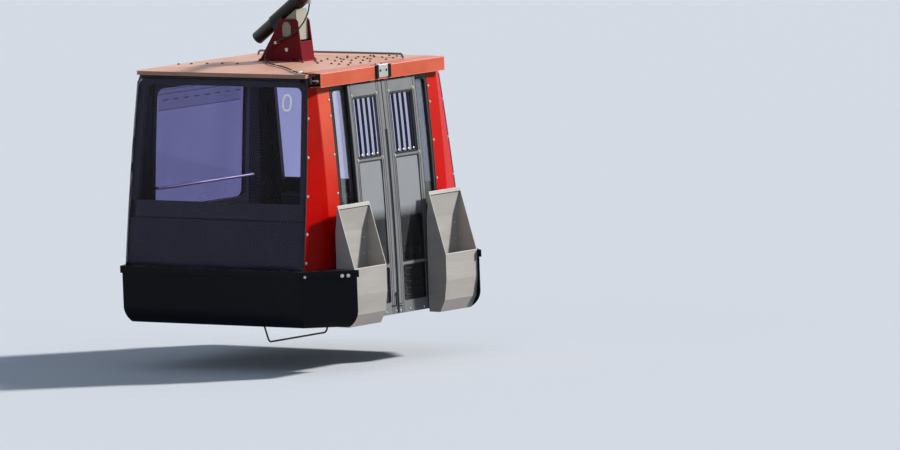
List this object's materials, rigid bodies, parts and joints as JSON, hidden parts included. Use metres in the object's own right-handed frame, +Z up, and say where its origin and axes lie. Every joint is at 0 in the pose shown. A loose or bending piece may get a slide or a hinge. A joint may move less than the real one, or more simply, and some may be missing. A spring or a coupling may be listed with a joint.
{
  "type": "cable car cabin",
  "caption": "Hanging cable car cabin with sliding doors, outside ski baskets, a bent hanger arm and a rope grip with running wheels.",
  "frame": {"origin": "on the rope's axis, at the middle of the grip's clamp", "axes": "+X across the rope towards the doors, +Y along the rope, +Z up"},
  "size_m": [2.3226, 2.28, 4.6045],
  "materials": {
    "dark_glass": "dark tinted dished sheet",
    "clear_glass": "lightly tinted",
    "black_frame": "satin black",
    "red_panel": "glossy red",
    "roof_paint": "sun-faded coral, satin",
    "header_paint": "glossy orange red",
    "bright_metal": "brushed",
    "black_plastic": "blue-black, satin",
    "aluminium_sheet": "mill finish",
    "aluminium_profile": "anodised, satin",
    "black_bars": "satin black",
    "black_rubber": "matt",
    "floor_metal": "dull",
    "loop_steel": "worn galvanised",
    "bench_plastic": "dark grey",
    "bench_metal": "satin black",
    "hanger_paint": "dark red",
    "collar_paint": "black",
    "bearing_block": "light grey",
    "grip_steel": "zinc grey",
    "jaw_iron": "machined",
    "spring_steel": "oiled",
    "wheel_rubber": "black tread on a plastic wheel"
  },
  "bodies": {
    "grip": {"grip_body": "grip_steel", "moving_jaw": "jaw_iron", "spring_packs": "spring_steel", "operating_lever": "grip_steel"},
    "cabin": {"near_end_glass": "dark_glass", "far_end_glass": "dark_glass", "near_side_glass": "clear_glass", "far_side_glass": "clear_glass", "back_window": "clear_glass", "near_end_frame": "black_frame", "far_end_frame": "black_frame", "back_wall": "black_frame", "door_wall": "black_frame", "near_door_corner_panel": "red_panel", "far_door_corner_panel": "red_panel", "near_back_corner_panel": "red_panel", "far_back_corner_panel": "red_panel", "roof_panel": "roof_paint", "door_header": "header_paint", "header_saddle": "bright_metal", "release_lever": "bright_metal", "suspension_bolt": "bright_metal", "cable_clips": "bright_metal", "header_saddle_guards": "black_plastic", "belt_ledge": "black_plastic", "near_skirt": "black_plastic", "back_skirt": "black_plastic", "far_skirt": "black_plastic", "near_ski_basket": "aluminium_sheet", "far_ski_basket": "aluminium_sheet", "door_rail": "aluminium_profile", "roof_rail": "aluminium_profile", "hanger_cable": "black_rubber", "floor_pan": "floor_metal", "under_floor_loop": "loop_steel", "handrail": "loop_steel", "near_bench": "bench_plastic", "far_bench": "bench_plastic", "near_bench_base": "bench_metal", "far_bench_base": "bench_metal", "hanger_arm": "hanger_paint", "suspension_bracket": "hanger_paint", "hanger_collar": "collar_paint", "suspension_block": "bearing_block"},
    "near_door": {"near_door_frame": "aluminium_profile", "near_door_vent": "black_bars", "near_door_glass": "clear_glass", "near_door_kick": "black_bars", "near_door_seal": "black_rubber", "door_latch": "black_bars"},
    "far_door": {"far_door_frame": "aluminium_profile", "far_door_vent": "black_bars", "far_door_glass": "clear_glass", "far_door_kick": "black_bars", "far_door_seal": "black_rubber", "latch_keeper": "black_bars"},
    "near_wheel": {"near_running_wheel": "wheel_rubber"},
    "far_wheel": {"far_running_wheel": "wheel_rubber"}
  },
  "joints": [
    {"name": "hanger_swing", "type": "hinge", "parent": "grip", "child": "cabin", "pos_m": [0.32, 0, 0], "axis": [1, 0, 0], "range_deg": [-30, 30]},
    {"name": "near_door_slide", "type": "slide", "parent": "cabin", "child": "near_door", "axis": [0, -1, 0], "range_m": [0, 0.36]},
    {"name": "far_door_slide", "type": "slide", "parent": "cabin", "child": "far_door", "axis": [0, 1, 0], "range_m": [0, 0.36]},
    {"name": "near_wheel_spin", "type": "hinge", "parent": "grip", "child": "near_wheel", "pos_m": [0.122, -0.2, 0.06], "axis": [1, 0, 0], "continuous": true},
    {"name": "far_wheel_spin", "type": "hinge", "parent": "grip", "child": "far_wheel", "pos_m": [0.122, 0.2, 0.06], "axis": [1, 0, 0], "continuous": true}
  ],
  "couplings": [
    {"joint": "far_door_slide", "follows": "near_door_slide", "ratio": 1}
  ]
}
